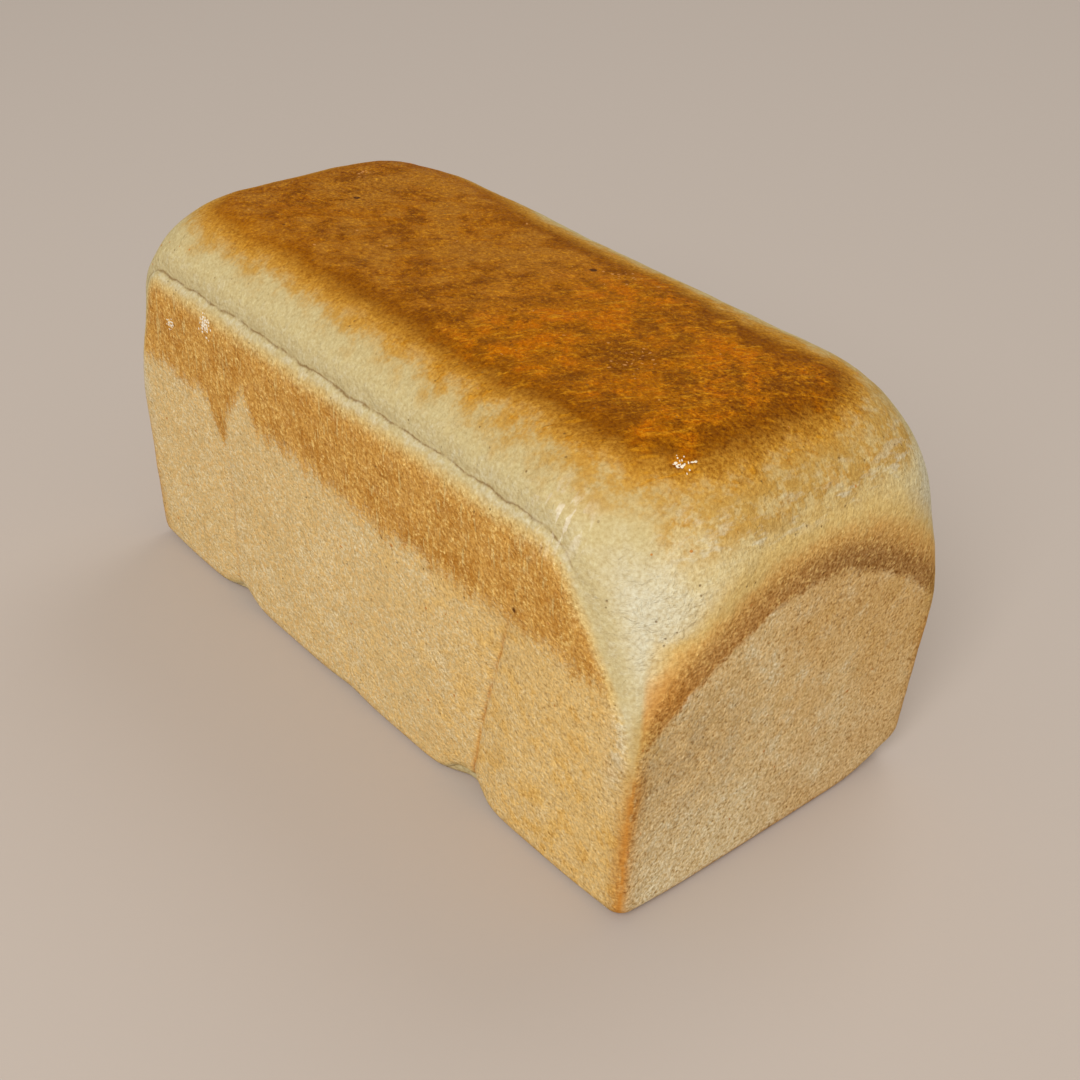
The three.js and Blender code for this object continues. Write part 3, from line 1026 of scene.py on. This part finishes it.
def scatter_on_crust(name, tree_name, spots, material, radius, spot_density):
    """Makes one piece of small lumps lying on the crust."""
    crust = bpy.data.objects.get("loaf_crust")
    if crust is None:
        raise RuntimeError("make the crust before what lies on it")
    inputs = {
        "Surface": ("NodeSocketGeometry", None),
        "Radius": ("LENGTH", radius),
        "Density": ("NodeSocketFloat", SPECK_DENSITY),
        "Spot density": ("NodeSocketFloat", spot_density),
        "Material": ("NodeSocketMaterial", material),
    }
    tree = speck_tree(tree_name, inputs, spots)
    piece = run_tree(name, tree, inputs, source=crust.data.copy())
    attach(piece, "root")


class LOAF_OT_make_flour(bpy.types.Operator):
    """Makes the specks of flour left on the crust"""
    bl_idname = "tin_loaf.make_flour"
    bl_label = "Make Flour"

    def execute(self, context):
        sizes = context.scene.loaf_specks
        flour = plain_material("Flour", tuple(context.scene.loaf_colours.flour), 0.9)
        scatter_on_crust("loaf_flour", "Flour", FLOUR_SPOTS, flour, sizes.flour_radius, FLOUR_SPOT_DENSITY)
        return {"FINISHED"}


class LOAF_OT_make_crumbs(bpy.types.Operator):
    """Makes the crumbs and torn flakes standing on the crust"""
    bl_idname = "tin_loaf.make_crumbs"
    bl_label = "Make Crumbs"

    def execute(self, context):
        sizes = context.scene.loaf_specks
        crumb = plain_material("Crumb", tuple(context.scene.loaf_colours.crumb), 0.8)
        scatter_on_crust("loaf_crumbs", "Crumbs", CRUMB_SPOTS, crumb, sizes.crumb_radius, CRUMB_SPOT_DENSITY)
        return {"FINISHED"}


class LOAF_OT_make_stage(bpy.types.Operator):
    """Makes the floor, the lights and the camera"""
    bl_idname = "tin_loaf.make_stage"
    bl_label = "Make Stage"

    def execute(self, context):
        scene = context.scene
        mesh = bpy.data.meshes.new("stage_floor")
        corners = [(x * FLOOR_REACH, y * FLOOR_REACH, 0) for x, y in ((-1, -1), (1, -1), (1, 1), (-1, 1))]
        mesh.from_pydata(corners, [], [(0, 1, 2, 3)])
        floor = bpy.data.objects.new("stage_floor", mesh)
        floor.location.z = -FLOOR_DROP
        mesh.materials.append(plain_material("Floor", srgb(178, 165, 153), 0.9))
        scene.collection.objects.link(floor)

        world = bpy.data.worlds.new("Studio")
        world.use_nodes = True
        sky = world.node_tree.nodes["Background"]
        sky.inputs["Color"].default_value = SKY["colour"]
        sky.inputs["Strength"].default_value = SKY["strength"]
        scene.world = world
        centre = Vector((0.0, 0.0, SIZE.z / 2))
        for lamp in LIGHTS:
            data = bpy.data.lights.new(lamp["name"], "AREA")
            data.size = lamp["side"]
            data.energy = lamp["power"]
            light = bpy.data.objects.new(lamp["name"], data)
            light.location = lamp["place"]
            light.rotation_euler = (centre - light.location).to_track_quat("-Z", "Y").to_euler()
            scene.collection.objects.link(light)

        data = bpy.data.cameras.new("camera")
        data.sensor_width = CAMERA["sensor"]
        data.lens = CAMERA["lens"]
        camera = bpy.data.objects.new("camera", data)
        camera.matrix_world = camera_place()
        scene.collection.objects.link(camera)
        scene.camera = camera
        scene.view_settings.view_transform = "Standard"
        return {"FINISHED"}


def camera_place():
    """The camera looks at the loaf's middle from its front right, leaning a little."""
    azimuth, elevation, roll = (math.radians(CAMERA[key]) for key in ("azimuth", "elevation", "roll"))
    flat = math.cos(elevation)
    back = Vector((math.sin(azimuth) * flat, -math.cos(azimuth) * flat, math.sin(elevation)))
    level = Vector((math.cos(azimuth), math.sin(azimuth), 0.0))
    upright = back.cross(level)
    right = level * math.cos(roll) + upright * math.sin(roll)
    up = upright * math.cos(roll) - level * math.sin(roll)
    turn = Matrix((right, up, back)).transposed().to_4x4()
    shift = right * CAMERA_SHIFT["across"] + up * CAMERA_SHIFT["above"] + back * CAMERA_SHIFT["back"]
    return Matrix.Translation(CAMERA_AIM + shift) @ turn


class LOAF_PT_panel(bpy.types.Panel):
    """Lists the loaf's sizes, colours and steps"""
    bl_idname = "LOAF_PT_panel"
    bl_label = "Tin Loaf"
    bl_space_type = "VIEW_3D"
    bl_region_type = "UI"
    bl_category = "Tin Loaf"

    def draw(self, context):
        scene = context.scene
        for group in (scene.loaf_sizes, scene.loaf_specks, scene.loaf_colours):
            column = self.layout.column()
            for key in type(group).__annotations__:
                column.prop(group, key)
        for operator in OPERATORS:
            self.layout.operator(operator.bl_idname)


OPERATORS = (LOAF_OT_make_crust, LOAF_OT_make_flour, LOAF_OT_make_crumbs, LOAF_OT_make_stage)
CLASSES = (LoafSizes, SpeckSizes, LoafColours, *OPERATORS, LOAF_PT_panel)


def register():
    for cls in CLASSES:
        bpy.utils.register_class(cls)
    bpy.types.Scene.loaf_sizes = bpy.props.PointerProperty(type=LoafSizes)
    bpy.types.Scene.loaf_specks = bpy.props.PointerProperty(type=SpeckSizes)
    bpy.types.Scene.loaf_colours = bpy.props.PointerProperty(type=LoafColours)


def unregister():
    del bpy.types.Scene.loaf_colours
    del bpy.types.Scene.loaf_specks
    del bpy.types.Scene.loaf_sizes
    for cls in reversed(CLASSES):
        bpy.utils.unregister_class(cls)


def main():
    register()
    bpy.ops.tin_loaf.make_crust()
    bpy.ops.tin_loaf.make_flour()
    bpy.ops.tin_loaf.make_crumbs()
    bpy.ops.tin_loaf.make_stage()


if __name__ == "__main__":
    main()
